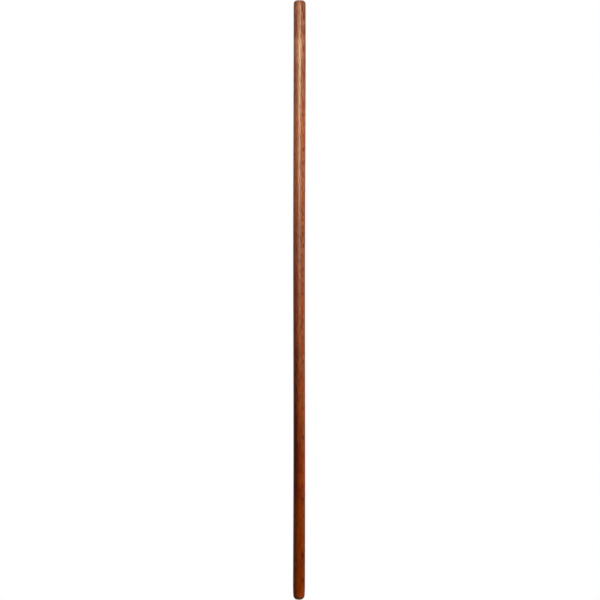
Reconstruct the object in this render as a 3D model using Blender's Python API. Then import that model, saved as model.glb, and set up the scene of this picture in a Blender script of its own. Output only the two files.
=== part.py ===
"""A plain, one-piece wooden extension pole for a push-fit paint roller.

The pole stands along +Z. The origin is the centre of the small flat on its butt, the domed end that the
hand holds, and the other end goes into the hollow handle of a roller frame. Lengths are in metres.
"""

import math

import bmesh
import bpy

INCH = 0.0254

# Driving dimensions.
LENGTH = 48 * INCH
DIAMETER = 15 / 16 * INCH
BUTT_ROUND = 0.0096  # radius of the quarter round between the butt's small flat and its side
BUTT_TAPER_LENGTH = 0.022
BUTT_TAPER_DEPTH = 0.0006  # how much the taper takes off the pole's radius
ROLLER_END_ROUND = 0.0080

# How finely the round surfaces are faceted.
SIDES = 72
ROUND_STEPS = 9

WOOD_COLOUR = (0.255, 0.075, 0.023, 1.0)
VARNISH_ROUGHNESS = 0.32
WOOD_METALLIC = 0.0

RADIUS = DIAMETER / 2


def clear_scene():
    """Removes every object that the file was opened with."""
    for leftover in list(bpy.data.objects):
        bpy.data.objects.remove(leftover)


def rounded_edge(edge_radius, round_radius, steps):
    """(radius, distance from the end) along a quarter round, from the end's flat out to edge_radius."""
    flat_radius = edge_radius - round_radius
    quarter = [step / steps * math.pi / 2 for step in range(steps + 1)]
    return [
        (flat_radius + round_radius * math.sin(angle), round_radius * (1 - math.cos(angle)))
        for angle in quarter
    ]


def pole_profile():
    """(radius, height) from the rim of the butt's flat, up the side, to the rim of the roller end's flat."""
    butt = rounded_edge(RADIUS - BUTT_TAPER_DEPTH, BUTT_ROUND, ROUND_STEPS)
    top_of_taper = (RADIUS, BUTT_ROUND + BUTT_TAPER_LENGTH)
    roller_end = [
        (radius, LENGTH - depth)
        for radius, depth in reversed(rounded_edge(RADIUS, ROLLER_END_ROUND, ROUND_STEPS))
    ]
    return butt + [top_of_taper] + roller_end


def turned_mesh(name, profile):
    """A closed mesh turned about Z from a profile whose two ends are the rims of flat faces."""
    shape = bmesh.new()
    rings = []
    for radius, height in profile:
        angles = [2 * math.pi * side / SIDES for side in range(SIDES)]
        rings.append(
            [shape.verts.new((radius * math.cos(a), radius * math.sin(a), height)) for a in angles]
        )
    for lower, upper in zip(rings, rings[1:]):
        for side in range(SIDES):
            after = (side + 1) % SIDES
            shape.faces.new((lower[side], lower[after], upper[after], upper[side]))
    shape.faces.new(reversed(rings[0]))
    shape.faces.new(rings[-1])
    mesh = bpy.data.meshes.new(name)
    shape.to_mesh(mesh)
    shape.free()
    mesh.shade_smooth()
    return mesh


def stained_wood():
    """Hardwood with a red-brown stain under a satin varnish."""
    material = bpy.data.materials.new("stained_hardwood")
    material.use_nodes = True
    surface = material.node_tree.nodes["Principled BSDF"]
    surface.inputs["Base Color"].default_value = WOOD_COLOUR
    surface.inputs["Roughness"].default_value = VARNISH_ROUGHNESS
    surface.inputs["Metallic"].default_value = WOOD_METALLIC
    return material


def make_pole():
    """The pole itself: one length of hardwood, rounded at both ends."""
    mesh = turned_mesh("wooden_pole", pole_profile())
    mesh.materials.append(stained_wood())
    pole = bpy.data.objects.new("wooden_pole", mesh)
    bpy.context.scene.collection.objects.link(pole)
    return pole


clear_scene()
make_pole()
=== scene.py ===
"""The looks of the wooden roller pole: its surface, stained and varnished wood, floor, light and camera.

Everything is in metres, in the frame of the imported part: the pole stands along +Z, with its butt at z = 0
and the end that goes into the roller handle at the top. The camera looks along +Y.
"""

import math

import bpy
import numpy as np
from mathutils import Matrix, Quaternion, Vector


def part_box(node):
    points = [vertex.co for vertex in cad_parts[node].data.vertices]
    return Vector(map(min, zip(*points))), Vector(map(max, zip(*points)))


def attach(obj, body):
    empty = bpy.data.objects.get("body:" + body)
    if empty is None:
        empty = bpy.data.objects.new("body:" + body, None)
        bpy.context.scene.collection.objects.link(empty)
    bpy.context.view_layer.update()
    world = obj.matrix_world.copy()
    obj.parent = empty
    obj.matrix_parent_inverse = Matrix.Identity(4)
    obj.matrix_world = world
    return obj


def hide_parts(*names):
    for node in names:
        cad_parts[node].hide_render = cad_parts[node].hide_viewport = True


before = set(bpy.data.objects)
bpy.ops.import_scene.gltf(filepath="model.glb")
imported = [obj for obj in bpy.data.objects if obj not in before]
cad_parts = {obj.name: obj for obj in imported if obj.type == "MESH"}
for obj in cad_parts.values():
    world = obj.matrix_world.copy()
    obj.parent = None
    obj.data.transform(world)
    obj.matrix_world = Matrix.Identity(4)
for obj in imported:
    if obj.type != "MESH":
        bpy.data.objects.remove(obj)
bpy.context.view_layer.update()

MM = 0.001

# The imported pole's size, and the roundings of its ends.
low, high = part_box("wooden_pole")
LENGTH = high.z - low.z
RADIUS = (high.x - low.x) / 2
BUTT_ROUND = 9.6 * MM
BUTT_TAPER_LENGTH = 22 * MM
BUTT_TAPER_DEPTH = 0.6 * MM
ROLLER_END_ROUND = 8.0 * MM

# How finely the pole's surface is meshed.
SIDES = 112
FLAT_RINGS = 3
ROUND_RINGS = 14
SHAFT_RINGS = 700

# How the real pole differs from a perfect one. A wave along it is its depth, its wavelength and the height
# of one of its peaks. Sides are in radians and twists in radians to the metre.
EXTRA_RADIUS = 0.32 * MM
SWELL = (0.18 * MM, 1.15, 1.05)
BOW_X = (0.36 * MM, 0.853, 0.274)
BOW_Y = (0.30 * MM, 0.97, 0.55)
OVAL_DEPTH = 0.06 * MM
OVAL_SIDE = 1.1
OVAL_TWIST = 2.4
FEED_MARKS = (0.012 * MM, 0.31, 0.2)
FEED_MARK_LOBES = 5
FEED_MARK_TWIST = 260

# A UV map to bake the wood onto. The pole's skin is cut across into equal tiles, which lie in
# rows in the map's square, because the whole skin is far too long and narrow for it.
BAKE_MAP = "OFBake"
TILES_PER_ROW = 4
TILES = TILES_PER_ROW**2
TILE_MARGIN = 0.02

# How the pole was cut from the tree. Its growth layers lie flat to the surface on one side, which faces the
# camera's right, and on the side opposite. They run out of the pole at a slope, which a sine wave along the
# pole changes: its depth, how many radians of it there are to the metre, and where in it the butt is. The
# fibres sway from side to side too.
FLAT_SAWN_SIDE = math.radians(42)
PITH_DISTANCE = 62 * MM
SLOPE = 0.062
SLOPE_CURVE = 5.0 * MM
SLOPE_TURN = 5.2
SLOPE_START = 3.1
SWAY = 1.6 * MM
SWAY_NOISE = ((21 * MM, 21 * MM, 62 * MM), 1.5, 0.5)

# The growth layers: how thick one is, by how many layers they are crowded or spread, and over what distance.
# Late wood starts and ends at these shares of a layer. Some layers are faint, and so are some patches.
LAYER = 1.45 * MM
LAYER_UNEVENNESS = 2.6
LAYER_VARIES_OVER = 11 * MM
LATE_WOOD_STARTS = (0.45, 0.92)
LATE_WOOD_ENDS = (0.95, 1.0)
FAINTEST_LAYER = 0.3
FAINTEST_PATCH = 0.25
PATCH_NOISE = ((2.4 * MM, 2.4 * MM, 16 * MM), 2.0, 0.5)
PATCH_EDGE = (0.36, 0.62)

# Noises in the wood: sizes across the layers, round them and along the fibres, then detail and roughness.
NOISES = {
    "fibre": ((0.30 * MM, 0.30 * MM, 14 * MM), 3.0, 0.6),
    "streak": ((1.4 * MM, 1.8 * MM, 36 * MM), 3.0, 0.55),
    "dash": ((0.8 * MM, 1.6 * MM, 9.5 * MM), 1.0, 0.5),
    "cloud": ((22 * MM, 22 * MM, 130 * MM), 2.0, 0.5),
    "tint": ((8 * MM, 8 * MM, 60 * MM), 3.0, 0.5),
    "smear": ((3.5 * MM, 3.5 * MM, 14 * MM), 3.0, 0.6),
}
RAY_NOISE = ((2.5 * MM, 0.20 * MM, 1.4 * MM), 1.0, 0.5)
RAY_EDGE = (0.60, 0.72)

# The open pores: the sizes of the cells that hold one each, and the widest pore's radius as a share of its
# cell. A cell's luck says how wide its own pore is, from none to the widest, and pores in the late wood are
# narrower. A pore is darkest up to the start of its edge. The narrowest is not quite 0, as a divisor.
PORES = [
    ((0.55 * MM, 0.55 * MM, 6 * MM), 0.34),
    ((0.85 * MM, 0.85 * MM, 15 * MM), 0.27),
]
PORE_LUCK = (0.25, 0.9)
PORE_IN_LATE_WOOD = 0.45
PORE_EDGE = (0.55, 1.0)
NARROWEST_PORE = 0.0001

# How steeply the surface faces up or down where the end grain starts, and where it is full.
END_GRAIN_EDGE = (0.35, 0.95)

# Painted shade: the lower pole's left flank is darkened in its colour, as shade that the lamps don't give,
# from the heights where it starts to where it ends. Its edge, in shares of the way from the pole's axis to
# that side, wanders with the streaks and clouds. The shade is what it leaves of the wood's red, green and
# blue.
SHADED_FLANK_SIDE = math.radians(-62)
SHADED_FLANK_EDGE = (0.05, 0.90)
SHADED_FLANK_EDGE_WANDERS = {"streak": 1.0, "cloud": 0.8}
PAINTED_FLANK_SHADE = (0.47, 0.36, 0.38)
SHADED_FLANK_STARTS = (0.05, 0.30)
SHADED_FLANK_ENDS = (0.28, 0.93)

# A patch that took less of the stain: its side, its edge as above, the streaks that it fades in across, and
# the heights where it starts and where it ends.
PALE_SPOT_SIDE = math.radians(-8)
PALE_SPOT_EDGE = (0.60, 0.92)
PALE_SPOT_STREAKS = (-0.3, 0.05)
PALE_SPOT_STARTS = (1.085, 1.108)
PALE_SPOT_ENDS = (1.133, 1.155)

# The wood is darker again above these heights, next to the cut end.
DARK_END_STARTS = (1.125, 1.165)

# How much of the stain the wood took, from 0 to 1: plain wood's share, and what each feature adds to it.
PLAIN_WOOD_STAIN = 0.42
FEATURE_STAIN = {
    "fibre": 0.38,
    "streak": 0.80,
    "dash": 1.05,
    "cloud": 0.45,
    "late wood": 0.75,
    "dark end": 0.15,
    "ray": 0.05,
    "pore": 0.36,
    "end grain": 0.20,
    "pale spot": -0.36,
}

# The stain, from where the wood took least to where it took most, near the roller end and near the butt.
# Clouds shift the change from one to the other along the pole, as a share of its length.
ROLLER_END_STAIN = [
    (0.00, (0.330, 0.140, 0.0690)),
    (0.35, (0.252, 0.092, 0.0450)),
    (0.62, (0.188, 0.0540, 0.0210)),
    (0.85, (0.124, 0.0295, 0.0092)),
    (1.00, (0.092, 0.0165, 0.0045)),
]
BUTT_STAIN = [
    (0.00, (0.380, 0.0850, 0.0044)),
    (0.35, (0.305, 0.0490, 0.0014)),
    (0.62, (0.243, 0.0310, 0.0007)),
    (0.85, (0.152, 0.0170, 0.0006)),
    (1.00, (0.100, 0.0080, 0.0003)),
]
STAIN_CHANGE_SHIFT = 0.5

# How much a yellower patch gains, and a redder one loses, of its red, green and blue.
TINT_SPREAD = (0.0, 1.0, 1.6)

# The varnish, which sinks into the pores and soaks into the ends: its roughness, what each feature adds to
# that, and how far outwards each feature lifts it, in millimetres.
VARNISH_ROUGHNESS = 0.29
FEATURE_ROUGHNESS = {"smear": 0.12, "fibre": 0.10, "pore": 0.22, "end grain": 0.16}
FEATURE_RELIEF = {"pore": -0.060, "fibre": 0.030, "late wood": 0.012, "smear": 0.020}
GLOSS_COLOUR = (1.0, 0.98, 0.82)

# The white backdrop's glow, at the camera's side of the pole and behind it, and where it changes, as shares
# of the way from straight beside the pole to straight behind it.
FRONT_GLOW = 0.02
BACK_GLOW = 0.45
BACK_GLOW_STARTS = (0.25, 0.50)
LAMP_COLOUR = (1.0, 0.95, 0.86)

# The floor, which is just under the butt so that the two surfaces don't share a plane, and the patch of it
# that throws light up at the butt.
FLOOR_RADIUS = 30.0
FLOOR_SIDES = 96
FLOOR_HEIGHT = -0.2 * MM
FLOOR_COLOUR = (0.32, 0.32, 0.315)
FLOOR_ROUGHNESS = 0.9
FLOOR_SHINE_COLOUR = (1.0, 0.995, 0.985)
FLOOR_SHINE = 0.56
FLOOR_GLOW_SIZE = (0.05, 0.04)
FLOOR_GLOW_PLACE = (0.014, -0.026, 0.1 * MM)
FLOOR_GLOW_RADIANCE = 0.95

# The camera. It stands a little to the right of the pole, which leans by a trace in the picture.
CAMERA_DISTANCE = 3.0
CAMERA_OFFSET = 1.5 * MM
CAMERA_ROLL = -0.0008
CAMERA_REACH = 20
POLE_SHARE_OF_PICTURE = 0.999333


# ---------------------------------------------------------------- the turned surface


def quarter_round(edge_radius, round_radius):
    """(radius, distance from the end) from near the end's centre, over its flat, to edge_radius."""
    flat_radius = edge_radius - round_radius
    flat = [(flat_radius * ring / (FLAT_RINGS + 1), 0.0) for ring in range(1, FLAT_RINGS + 1)]
    angles = [ring / ROUND_RINGS * math.pi / 2 for ring in range(ROUND_RINGS + 1)]
    return flat + [
        (flat_radius + round_radius * math.sin(a), round_radius * (1 - math.cos(a))) for a in angles
    ]


def pole_profile():
    """(radius, height) of each ring of the pole's surface, from the butt to the roller end."""
    butt = quarter_round(RADIUS - BUTT_TAPER_DEPTH, BUTT_ROUND)
    roller_end = quarter_round(RADIUS, ROLLER_END_ROUND)
    shaft = np.linspace(BUTT_ROUND, LENGTH - ROLLER_END_ROUND, SHAFT_RINGS + 2)[1:-1]
    share = np.clip((shaft - BUTT_ROUND) / BUTT_TAPER_LENGTH, 0, 1)
    taper = BUTT_TAPER_DEPTH * (1 - share) ** 2
    return np.array(
        butt
        + list(zip(RADIUS - taper, shaft))
        + [(radius, LENGTH - depth) for radius, depth in reversed(roller_end)]
    )


def skin_distance(profile):
    """How far each ring lies along the skin from the butt's centre, as a share of the way to the top's."""
    ends = [(0.0, profile[0][1]), *profile, (0.0, profile[-1][1])]
    steps = np.linalg.norm(np.diff(ends, axis=0), axis=1)
    return np.cumsum(steps)[:-1] / steps.sum()


def tile_corners(side, skin_low, skin_high):
    """Where a quad of the skin lies in the bake map, as its lower and then its upper corners."""
    tile = int((skin_low + skin_high) / 2 * TILES)
    column, row = tile % TILES_PER_ROW, tile // TILES_PER_ROW

    def place(turn, skin):
        shares = (turn / SIDES, skin * TILES - tile)
        across, up = (TILE_MARGIN + share * (1 - 2 * TILE_MARGIN) for share in shares)
        return ((column + across) / TILES_PER_ROW, (row + up) / TILES_PER_ROW)

    return [
        place(side, skin_low),
        place(side + 1, skin_low),
        place(side + 1, skin_high),
        place(side, skin_high),
    ]


def middle(a, b):
    """The point half way between two points of the bake map."""
    return ((a[0] + b[0]) / 2, (a[1] + b[1]) / 2)


def wave(height, depth, wavelength, peak):
    """A cosine along the pole, which peaks at one height."""
    return depth * np.cos(2 * math.pi * (height - peak) / wavelength)


def pole_surface():
    """The pole as a closed mesh. Real poles are never quite round or straight, and nor is this one."""
    profile = pole_profile()
    radius, height = profile[:, :1], profile[:, 1:]
    angle = np.arange(SIDES)[None, :] * 2 * math.pi / SIDES

    share = radius / RADIUS
    drift = EXTRA_RADIUS + wave(height, *SWELL)
    oval = OVAL_DEPTH * np.cos(2 * (angle - OVAL_SIDE - OVAL_TWIST * height))
    lobes = np.cos(FEED_MARK_LOBES * angle - FEED_MARK_TWIST * height)
    feed_marks = lobes * wave(height, *FEED_MARKS)
    radius = radius + share * (drift + oval + feed_marks)

    bow_x = wave(height, *BOW_X)
    bow_y = wave(height, *BOW_Y)
    points = np.stack(
        [
            radius * np.cos(angle) + bow_x,
            radius * np.sin(angle) + bow_y,
            np.broadcast_to(height, (len(profile), SIDES)),
        ],
        axis=-1,
    )
    ends = [
        (bow_x[0, 0], bow_y[0, 0], 0.0),
        (bow_x[-1, 0], bow_y[-1, 0], LENGTH),
    ]
    vertices = [tuple(p) for p in points.reshape(-1, 3)] + ends

    rings = len(profile)
    skin = skin_distance(profile)
    faces = []
    bake_places = []
    for ring in range(rings - 1):
        for side in range(SIDES):
            after = (side + 1) % SIDES
            lower, upper = ring * SIDES, (ring + 1) * SIDES
            faces.append((lower + side, lower + after, upper + after, upper + side))
            bake_places += tile_corners(side, skin[ring], skin[ring + 1])
    butt_centre, top_centre, last = rings * SIDES, rings * SIDES + 1, (rings - 1) * SIDES
    for side in range(SIDES):
        after = (side + 1) % SIDES
        faces.append((butt_centre, after, side))
        faces.append((top_centre, last + side, last + after))
        left, right, top_right, top_left = tile_corners(side, 0.0, skin[0])
        bake_places += [middle(left, right), top_right, top_left]
        left, right, top_right, top_left = tile_corners(side, skin[-1], 1.0)
        bake_places += [middle(top_left, top_right), left, right]

    mesh = bpy.data.meshes.new("turned_pole")
    mesh.from_pydata(vertices, [], faces)
    mesh.uv_layers.new(name=BAKE_MAP).data.foreach_set("uv", np.ravel(bake_places))
    mesh.update()
    mesh.shade_smooth()
    pole = bpy.data.objects.new("turned_pole", mesh)
    bpy.context.scene.collection.objects.link(pole)
    return pole


# ---------------------------------------------------------------- node trees


class Graph:
    """Adds nodes to a tree. Each input is a number, a vector, a colour or another node's output."""

    def __init__(self, tree):
        self.tree = tree

    def node(self, kind, inputs, output=0, **settings):
        """One output of a new node with these inputs and settings."""
        made = self.tree.nodes.new(kind)
        for name, value in settings.items():
            setattr(made, name, value)
        for socket, value in inputs.items():
            if isinstance(value, bpy.types.NodeSocket):
                self.tree.links.new(value, made.inputs[socket])
            else:
                made.inputs[socket].default_value = value
        return made.outputs[output]

    def math(self, operation, *values):
        """A Math node over one to three numbers."""
        return self.node("ShaderNodeMath", dict(enumerate(values)), operation=operation)

    def total(self, *values):
        """The sum of the values."""
        result = values[0]
        for value in values[1:]:
            result = self.math("ADD", result, value)
        return result

    def times(self, *values):
        """The product of the values."""
        result = values[0]
        for value in values[1:]:
            result = self.math("MULTIPLY", result, value)
        return result

    def weighted(self, base, features, weights):
        """The base plus each weighted feature."""
        return self.total(base, *(self.times(features[name], weight) for name, weight in weights.items()))

    def at_least(self, value, least):
        """A value from 0 to 1, squeezed into the range from least to 1."""
        return self.total(self.times(value, 1 - least), least)

    def ramp(self, value, low, high, to_low=0.0, to_high=1.0):
        """Smoothly from to_low, where value is at or under low, to to_high, where it is at or over high."""
        inputs = {"Value": value, 1: low, 2: high, 3: to_low, 4: to_high}
        return self.node("ShaderNodeMapRange", inputs, interpolation_type="SMOOTHSTEP")

    def fade(self, value, low, high):
        """Smoothly from 1, where value is at or under low, to 0, where it is at or over high."""
        return self.ramp(value, low, high, 1.0, 0.0)

    def split(self, vector):
        """The vector's three parts."""
        separate = self.tree.nodes.new("ShaderNodeSeparateXYZ")
        self.tree.links.new(vector, separate.inputs[0])
        return separate.outputs

    def join(self, x, y, z):
        """A vector of three parts."""
        return self.node("ShaderNodeCombineXYZ", {0: x, 1: y, 2: z})

    def vector_math(self, operation, *values):
        """A Vector Math node over two or three vectors."""
        return self.node("ShaderNodeVectorMath", dict(enumerate(values)), operation=operation)

    def scaled(self, vector, sizes):
        """The vector counted in cells of these sizes, so that a texture's grain is sizes across."""
        return self.vector_math("MULTIPLY", vector, tuple(1 / size for size in sizes))

    def noise(self, vector, sizes, detail, roughness, output=0):
        """Soft noise from 0 to 1, averaging 0.5, whose lumps are about sizes across."""
        inputs = {
            "Vector": self.scaled(vector, sizes),
            "Scale": 1.0,
            "Detail": detail,
            "Roughness": roughness,
        }
        return self.node("ShaderNodeTexNoise", inputs, output)

    def cells(self, vector, sizes):
        """(distance to the nearest cell's centre, that cell's random colour)"""
        inputs = {"Vector": self.scaled(vector, sizes), "Scale": 1.0}
        distance = self.node("ShaderNodeTexVoronoi", inputs)
        return distance, distance.node.outputs["Color"]


# ---------------------------------------------------------------- the wood


def fibre_space(graph):
    """(radial, tangential, along), a place in the tree that the pole was cut from, and radial by itself.

    Radial is the distance from the pith, tangential runs round the growth layers, and along runs up the
    fibres, all in metres. The pole was sawn at a slight slope to them, and no tree grows quite straight.
    """
    place = graph.node("ShaderNodeTexCoord", {}, "Object")
    sway = graph.noise(place, *SWAY_NOISE, output="Color")
    sway = graph.vector_math("SUBTRACT", sway, (0.5, 0.5, 0.5))
    swayed = graph.vector_math("MULTIPLY_ADD", sway, (SWAY, SWAY, 0.0), place)
    x, y, z = graph.split(swayed)
    outward = graph.total(
        graph.times(x, math.sin(FLAT_SAWN_SIDE)),
        graph.times(y, -math.cos(FLAT_SAWN_SIDE)),
    )
    sideways = graph.total(
        graph.times(x, math.cos(FLAT_SAWN_SIDE)),
        graph.times(y, math.sin(FLAT_SAWN_SIDE)),
    )
    curve = graph.math("SINE", graph.total(graph.times(z, SLOPE_TURN), SLOPE_START))
    run_out = graph.total(graph.times(z, SLOPE), graph.times(curve, SLOPE_CURVE))
    outward = graph.total(outward, run_out, PITH_DISTANCE)
    squares = graph.total(graph.times(outward, outward), graph.times(sideways, sideways))
    radial = graph.math("SQRT", squares)
    turn = graph.math("ARCTAN2", sideways, outward)
    tangential = graph.times(turn, PITH_DISTANCE)
    return graph.join(radial, tangential, z), radial


def growth_layers(graph, wood, radial):
    """From 0 in a growth layer's early wood to 1 in its late wood, which ends sharply.

    There are two such values. In the first the layers are all alike, and in the second some are fainter.
    """
    unevenness = graph.node(
        "ShaderNodeTexNoise",
        {"W": graph.times(radial, 1 / LAYER_VARIES_OVER), "Scale": 1.0, "Detail": 1.0},
        noise_dimensions="1D",
    )
    count = graph.total(graph.times(radial, 1 / LAYER), graph.times(unevenness, LAYER_UNEVENNESS))
    share = graph.math("FRACT", count)
    late = graph.times(graph.ramp(share, *LATE_WOOD_STARTS), graph.fade(share, *LATE_WOOD_ENDS))
    which = graph.math("FLOOR", count)
    layer_luck = graph.node("ShaderNodeTexWhiteNoise", {"W": which}, noise_dimensions="1D")
    patch = graph.ramp(graph.noise(wood, *PATCH_NOISE), *PATCH_EDGE)
    strength = graph.times(
        graph.at_least(layer_luck, FAINTEST_LAYER),
        graph.at_least(patch, FAINTEST_PATCH),
    )
    return late, graph.times(late, strength)


def end_grain(graph):
    """0 on the pole's side and 1 on its ends, where the fibres are cut across."""
    normal = graph.node("ShaderNodeTexCoord", {}, "Normal")
    steepness = graph.math("ABSOLUTE", graph.split(normal)[2])
    return graph.ramp(steepness, *END_GRAIN_EDGE)


def pores(graph, wood, late):
    """Open vessels: short dark lines along the fibres, and dots where the end cuts them. 1 in a vessel."""
    found = []
    for sizes, reach in PORES:
        distance, random_colour = graph.cells(wood, sizes)
        luck = graph.ramp(graph.split(random_colour)[0], *PORE_LUCK)
        width = graph.times(reach, luck, graph.ramp(late, 0.0, 1.0, 1.0, PORE_IN_LATE_WOOD))
        place_in_pore = graph.math("DIVIDE", distance, graph.total(width, NARROWEST_PORE))
        found.append(graph.fade(place_in_pore, *PORE_EDGE))
    return graph.math("MAXIMUM", *found)


def towards(graph, x, y, side):
    """From -1 on the far side of the pole to 1 on this side, which is an angle from the camera's side."""
    return graph.total(
        graph.times(x, math.sin(side) / RADIUS),
        graph.times(y, -math.cos(side) / RADIUS),
    )


def wood_features(graph):
    """What varies over the wood, by name. The noises run from -0.5 to 0.5, and the rest from 0 to 1."""
    wood, radial = fibre_space(graph)
    late, layer = growth_layers(graph, wood, radial)
    x, y, height = graph.split(graph.node("ShaderNodeTexCoord", {}, "Object"))
    features = {name: graph.total(graph.noise(wood, *noise), -0.5) for name, noise in NOISES.items()}
    features["height"] = height
    features["late wood"] = layer
    features["ray"] = graph.ramp(graph.noise(wood, *RAY_NOISE), *RAY_EDGE)
    features["pore"] = pores(graph, wood, late)
    features["end grain"] = end_grain(graph)
    features["dark end"] = graph.ramp(height, *DARK_END_STARTS)
    features["pale spot"] = graph.times(
        graph.ramp(height, *PALE_SPOT_STARTS),
        graph.fade(height, *PALE_SPOT_ENDS),
        graph.ramp(towards(graph, x, y, PALE_SPOT_SIDE), *PALE_SPOT_EDGE),
        graph.ramp(features["streak"], *PALE_SPOT_STREAKS),
    )
    # Painted shade on the lower pole's left flank, which darkens the wood's colour there.
    inwards = graph.weighted(towards(graph, x, y, SHADED_FLANK_SIDE), features, SHADED_FLANK_EDGE_WANDERS)
    features["heartwood"] = graph.times(
        graph.ramp(height, *SHADED_FLANK_STARTS),
        graph.fade(height, *SHADED_FLANK_ENDS),
        graph.ramp(inwards, *SHADED_FLANK_EDGE),
    )
    return features


def stain_colour(graph, name, stops, amount):
    """The colour of one stain where the wood took this amount of it."""
    ramp = graph.tree.nodes.new("ShaderNodeValToRGB")
    ramp.label = name
    while len(ramp.color_ramp.elements) < len(stops):
        ramp.color_ramp.elements.new(1.0)
    for element, (position, colour) in zip(ramp.color_ramp.elements, stops):
        element.position = position
        element.color = (*colour, 1.0)
    graph.tree.links.new(amount, ramp.inputs[0])
    return ramp.outputs["Color"]


def wood_colour(graph, features):
    """The stained wood's colour. Some of it is yellower and some redder, and painted shade darkens the lower
    left flank.
    """
    amount = graph.weighted(PLAIN_WOOD_STAIN, features, FEATURE_STAIN)
    top_colour = stain_colour(graph, "stain near the roller end", ROLLER_END_STAIN, amount)
    butt_colour = stain_colour(graph, "stain near the butt", BUTT_STAIN, amount)
    share_of_height = graph.total(
        graph.times(features["height"], 1 / LENGTH),
        graph.times(features["cloud"], STAIN_CHANGE_SHIFT),
    )
    mix = graph.tree.nodes.new("ShaderNodeMix")
    mix.data_type = "RGBA"
    for socket, value in ((0, graph.ramp(share_of_height, 0.0, 1.0)), (6, butt_colour), (7, top_colour)):
        graph.tree.links.new(value, mix.inputs[socket])
    # Each channel is what the painted flank shade leaves of it, times the yellower or redder tint.
    changes = [
        graph.times(
            graph.total(1.0, graph.times(features["heartwood"], left - 1)),
            graph.total(1.0, graph.times(features["tint"], spread)),
        )
        for left, spread in zip(PAINTED_FLANK_SHADE, TINT_SPREAD)
    ]
    return graph.vector_math("MULTIPLY", mix.outputs[2], graph.join(*changes))


def stained_hardwood():
    """Hardwood with a red-brown stain, deeper towards the butt, under a thin satin varnish."""
    material = bpy.data.materials.new("stained_hardwood")
    material.use_nodes = True
    graph = Graph(material.node_tree)
    surface = material.node_tree.nodes["Principled BSDF"]
    surface.inputs["Specular Tint"].default_value = (*GLOSS_COLOUR, 1.0)

    features = wood_features(graph)
    relief = graph.weighted(0.0, features, FEATURE_RELIEF)
    looks = {
        "Base Color": wood_colour(graph, features),
        "Roughness": graph.weighted(VARNISH_ROUGHNESS, features, FEATURE_ROUGHNESS),
        "Normal": graph.node("ShaderNodeBump", {"Height": relief, "Distance": MM, "Strength": 1.0}),
    }
    for socket, value in looks.items():
        graph.tree.links.new(value, surface.inputs[socket])
    return material


# ---------------------------------------------------------------- the studio


def make_world():
    """A white backdrop, whose glow reaches the pole almost only from behind."""
    world = bpy.data.worlds.new("studio")
    world.use_nodes = True
    bpy.context.scene.world = world
    graph = Graph(world.node_tree)
    direction = graph.node("ShaderNodeTexCoord", {}, "Generated")
    glow = graph.ramp(graph.split(direction)[1], *BACK_GLOW_STARTS, FRONT_GLOW, BACK_GLOW)
    seen = graph.node("ShaderNodeLightPath", {}, "Is Camera Ray")
    strength = graph.math("MAXIMUM", glow, seen)
    background = world.node_tree.nodes["Background"]
    graph.tree.links.new(strength, background.inputs["Strength"])
    background.inputs["Color"].default_value = (1, 1, 1, 1)


class Softbox:
    """A panel of light that faces the pole and fades towards its edges.

    Azimuth is from the camera's side of the pole round to its right, and roll leans the panel's top to the
    left, both in degrees. Soft is the share of the panel's half width, and of its half height, over which
    it fades. The panel faces the point of the pole's axis at the height that it is aimed at. It lights the
    wood, the varnish mirrors it, or both.
    """

    def __init__(
        self,
        azimuth,
        height,
        size,
        radiance,
        soft,
        roll=0.0,
        distance=0.8,
        aimed_at=None,
        lights_wood=True,
        mirrored=True,
    ):
        self.azimuth = math.radians(azimuth)
        self.height = height
        self.size = size
        self.radiance = radiance
        self.soft = soft
        self.roll = math.radians(roll)
        self.distance = distance
        self.aimed_at = height if aimed_at is None else aimed_at
        self.lights_wood = lights_wood
        self.mirrored = mirrored

    def lamp(self, name):
        """The panel's light: even in the middle, and fading over its soft edges."""
        lamp = bpy.data.lights.new(name, "AREA")
        lamp.shape = "RECTANGLE"
        lamp.size, lamp.size_y = self.size
        lamp.energy = self.radiance * self.size[0] * self.size[1] * math.pi
        lamp.color = LAMP_COLOUR
        lamp.use_nodes = True
        graph = Graph(lamp.node_tree)
        across, up, _ = graph.split(graph.node("ShaderNodeTexCoord", {}, "UV"))
        fades = []
        for place, share in zip((across, up), self.soft):
            from_middle = graph.math("ABSOLUTE", graph.total(graph.times(place, 2.0), -1.0))
            fades.append(graph.fade(from_middle, 1 - share, 1.0))
        emission = lamp.node_tree.nodes["Emission"]
        graph.tree.links.new(graph.times(*fades), emission.inputs["Strength"])
        return lamp

    def light(self, name):
        """Puts the panel in its place."""
        place = Vector((math.sin(self.azimuth), -math.cos(self.azimuth), 0)) * self.distance
        place.z = self.height
        facing = (Vector((0, 0, self.aimed_at)) - place).to_track_quat("-Z", "Y")
        panel = bpy.data.objects.new(name, self.lamp(name))
        panel.location = place
        panel.rotation_euler = (facing @ Quaternion((0, 0, 1), self.roll)).to_euler()
        panel.visible_camera = False
        panel.visible_diffuse = self.lights_wood
        panel.visible_glossy = self.mirrored
        bpy.context.scene.collection.objects.link(panel)


HIGH_LAMP = {"soft": (0.2, 0.2), "distance": 4.0, "aimed_at": 0.6, "mirrored": False}

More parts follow.
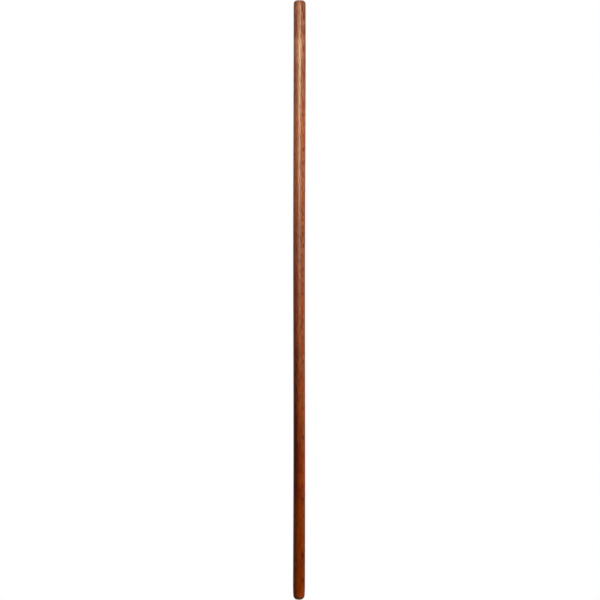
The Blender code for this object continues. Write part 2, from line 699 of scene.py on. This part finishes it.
# The overhead and back lamps light the whole pole. The two keys draw the varnish's highlight, and the crown
# carries it on over the top's rounding. The fill is a faint sheen lower down, and the side lamp is for the
# right edge.
SOFTBOXES = {
    "overhead": Softbox(50, 5.0, (2.0, 2.0), 28.4, **HIGH_LAMP),
    "back": Softbox(205, 5.0, (2.0, 2.0), 20.0, **HIGH_LAMP),
    "crown": Softbox(
        5, 1.70, (0.26, 0.90), 12.0, soft=(0.7, 0.3), distance=0.5, aimed_at=1.2, lights_wood=False
    ),
    "key": Softbox(-29, 1.29, (0.16, 1.60), 13.0, soft=(0.88, 0.30), roll=43),
    "key_core": Softbox(8.0, 1.10, (0.082, 0.90), 54.0, soft=(0.65, 1.00), roll=-44),
    "fill": Softbox(12.2, 0.80, (0.60, 1.20), 2.5, soft=(0.30, 1.00), roll=-57),
    "side": Softbox(100, 0.57, (0.525, 0.833), 0.9, soft=(0.61, 0.30)),
}


def make_floor_glow():
    """The light that the floor just in front of the butt throws up at it."""
    lamp = bpy.data.lights.new("floor_glow", "AREA")
    lamp.shape = "ELLIPSE"
    lamp.size, lamp.size_y = FLOOR_GLOW_SIZE
    area = math.pi / 4 * lamp.size * lamp.size_y
    lamp.energy = FLOOR_GLOW_RADIANCE * area * math.pi
    lamp.color = LAMP_COLOUR
    glow = bpy.data.objects.new("floor_glow", lamp)
    glow.location = FLOOR_GLOW_PLACE
    glow.rotation_euler = (math.pi, 0, 0)
    glow.visible_camera = False
    glow.visible_glossy = False
    bpy.context.scene.collection.objects.link(glow)


def make_floor():
    """A wide pale floor, which the pole stands on. It shines by itself and doesn't light the pole."""
    turns = [2 * math.pi * step / FLOOR_SIDES for step in range(FLOOR_SIDES)]
    rim = [(FLOOR_RADIUS * math.cos(turn), FLOOR_RADIUS * math.sin(turn), FLOOR_HEIGHT) for turn in turns]
    mesh = bpy.data.meshes.new("floor")
    mesh.from_pydata(rim, [], [list(range(len(rim)))])
    floor = bpy.data.objects.new("floor", mesh)
    bpy.context.scene.collection.objects.link(floor)
    material = bpy.data.materials.new("pale_floor")
    material.use_nodes = True
    surface = material.node_tree.nodes["Principled BSDF"]
    surface.inputs["Base Color"].default_value = (*FLOOR_COLOUR, 1)
    surface.inputs["Roughness"].default_value = FLOOR_ROUGHNESS
    surface.inputs["Specular IOR Level"].default_value = 0.0
    surface.inputs["Emission Color"].default_value = (*FLOOR_SHINE_COLOUR, 1)
    surface.inputs["Emission Strength"].default_value = FLOOR_SHINE
    mesh.materials.append(material)
    floor.visible_diffuse = False
    floor.visible_glossy = False


def make_camera():
    """Square on to the pole, and without perspective, so that both of its ends are seen edge on."""
    lens = bpy.data.cameras.new("camera")
    lens.type = "ORTHO"
    lens.ortho_scale = LENGTH / POLE_SHARE_OF_PICTURE
    lens.clip_end = CAMERA_REACH
    camera = bpy.data.objects.new("camera", lens)
    camera.location = (CAMERA_OFFSET, -CAMERA_DISTANCE, LENGTH / 2)
    camera.rotation_euler = (math.pi / 2, CAMERA_ROLL, 0)
    bpy.context.scene.collection.objects.link(camera)
    bpy.context.scene.camera = camera


make_camera()
make_world()
for name, softbox in SOFTBOXES.items():
    softbox.light(name)
make_floor_glow()
make_floor()
bpy.context.scene.view_settings.view_transform = "Standard"

pole = pole_surface()
pole.data.materials.append(stained_hardwood())
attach(pole, "root")
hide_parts("wooden_pole")
